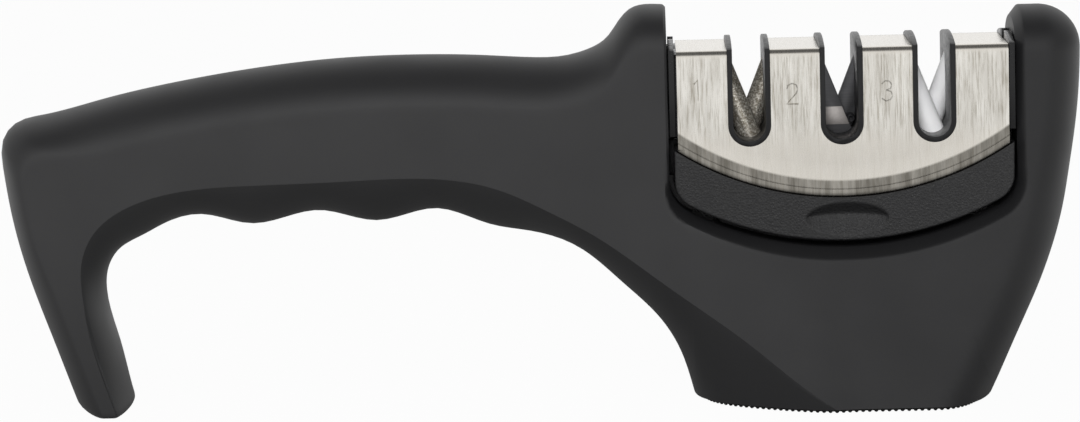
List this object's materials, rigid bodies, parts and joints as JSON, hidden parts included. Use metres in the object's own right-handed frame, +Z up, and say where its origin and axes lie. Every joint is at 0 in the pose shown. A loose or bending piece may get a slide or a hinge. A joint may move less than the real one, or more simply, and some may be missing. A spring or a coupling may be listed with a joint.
{
  "type": "manual knife sharpener",
  "caption": "Hand-held pull-through knife sharpener: bent handle on a leg, wide non-slip foot and a lift-out cartridge with diamond, carbide and ceramic slots",
  "frame": {"origin": "on the floor, under the middle of the whole sharpener", "axes": "+X from the leg to the nose, along the handle; +Z up; -Y is the front, the side with the engraved numbers"},
  "size_m": [0.2092, 0.0504, 0.0766],
  "materials": {
    "soft_touch_black": "soft-touch matte",
    "black_abs": "moulded, lightly textured",
    "sole_rubber": "matte with small nubs",
    "screw_steel": "zinc plated",
    "textured_black": "fine sparkling grain",
    "brushed_steel": "brushed up and down",
    "cartridge_black": "semi-gloss",
    "slot_liner_black": "gloss",
    "diamond_coated_steel": "diamond grit",
    "tungsten_carbide": "ground",
    "white_ceramic": "fine matte"
  },
  "bodies": {
    "housing": {"housing_shell": "soft_touch_black", "handle_underside": "soft_touch_black", "base_plate": "black_abs", "non_slip_sole": "sole_rubber", "base_screws": "screw_steel"},
    "cartridge": {"cartridge_base": "textured_black", "steel_cover": "brushed_steel", "core_front": "cartridge_black", "core_rear": "cartridge_black", "slot_guide_1": "slot_liner_black", "slot_guide_2": "slot_liner_black", "slot_guide_3": "slot_liner_black", "diamond_rod_front": "diamond_coated_steel", "diamond_rod_rear": "diamond_coated_steel", "carbide_blade_front": "tungsten_carbide", "carbide_blade_rear": "tungsten_carbide", "ceramic_rod_front": "white_ceramic", "ceramic_rod_rear": "white_ceramic", "blade_pin": "screw_steel", "rod_retainer": "black_abs", "cartridge_screws": "screw_steel"}
  },
  "joints": [
    {"name": "cartridge_lift", "type": "slide", "parent": "housing", "child": "cartridge", "axis": [0, 0, 1], "range_m": [0, 0.05]}
  ]
}
